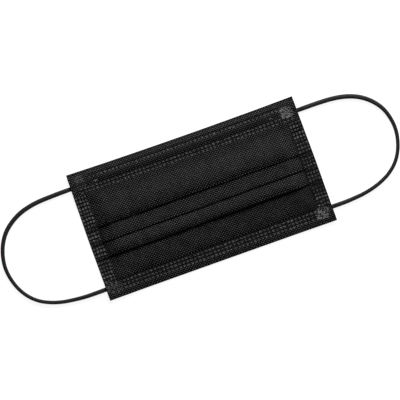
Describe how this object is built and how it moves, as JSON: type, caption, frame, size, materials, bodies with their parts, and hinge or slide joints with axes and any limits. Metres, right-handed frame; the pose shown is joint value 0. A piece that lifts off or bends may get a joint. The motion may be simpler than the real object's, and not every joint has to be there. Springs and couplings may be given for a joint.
{
  "type": "disposable face mask",
  "caption": "Flat-folded, pleated, disposable face mask with a nose wire in its top hem, welded side seams and round elastic ear loops.",
  "frame": {"origin": "on the surface that the mask lies on, under the middle of the mask body, measured without the ear loops", "axes": "+X to the right along the mask's long edges, +Y towards the nose edge, +Z out of the outer face"},
  "size_m": [0.3044, 0.0966, 0.0073],
  "materials": {
    "nonwoven": "matte black spunbond nonwoven with a fine point emboss",
    "nonwoven_hem": "matte black spunbond nonwoven, folded, with rows of welded points",
    "welded_seam": "black nonwoven pressed and welded in a grid of shiny points",
    "wire": "plastic-coated flat steel strip",
    "elastic": "fine knitted black elastic cord",
    "elastic_weld": "elastic cord pressed flat and fused"
  },
  "bodies": {
    "root": {"pleated_panel": "nonwoven", "top_hem": "nonwoven_hem", "bottom_hem": "nonwoven_hem", "side_seam_left": "welded_seam", "side_seam_right": "welded_seam", "nose_wire": "wire", "ear_loop_left": "elastic", "ear_loop_right": "elastic", "loop_weld_top_left": "elastic_weld", "loop_weld_bottom_left": "elastic_weld", "loop_weld_top_right": "elastic_weld", "loop_weld_bottom_right": "elastic_weld"}
  },
  "joints": []
}
